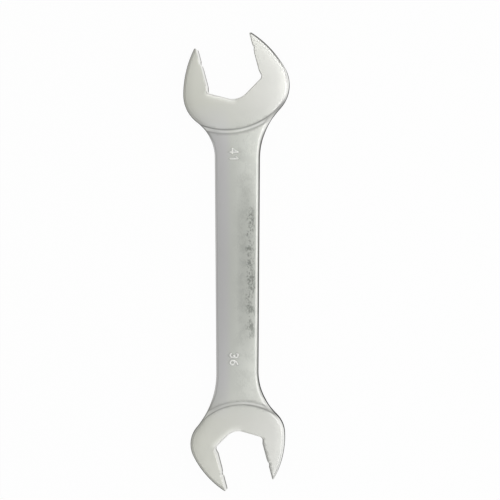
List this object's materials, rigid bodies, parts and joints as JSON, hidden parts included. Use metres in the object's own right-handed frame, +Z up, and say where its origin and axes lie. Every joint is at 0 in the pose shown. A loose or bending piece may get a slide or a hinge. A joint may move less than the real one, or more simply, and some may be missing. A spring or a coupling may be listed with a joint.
{
  "type": "open end wrench",
  "caption": "Double open end wrench, 41 mm and 36 mm across flats, mouths turned 15 degrees either way on a flat tapered shank with hollow necks.",
  "frame": {"origin": "under the middle of the whole wrench, on the surface it lies on", "axes": "+Y along the shank towards the large head, +Z up through the faces of the heads, +X across the shank"},
  "size_m": [0.08, 0.347, 0.0145],
  "materials": {
    "satin_chrome": "satin chrome plate on forged steel, fine matt grain"
  },
  "bodies": {
    "root": {"large_head": "satin_chrome", "shank": "satin_chrome", "small_head": "satin_chrome"}
  },
  "joints": []
}
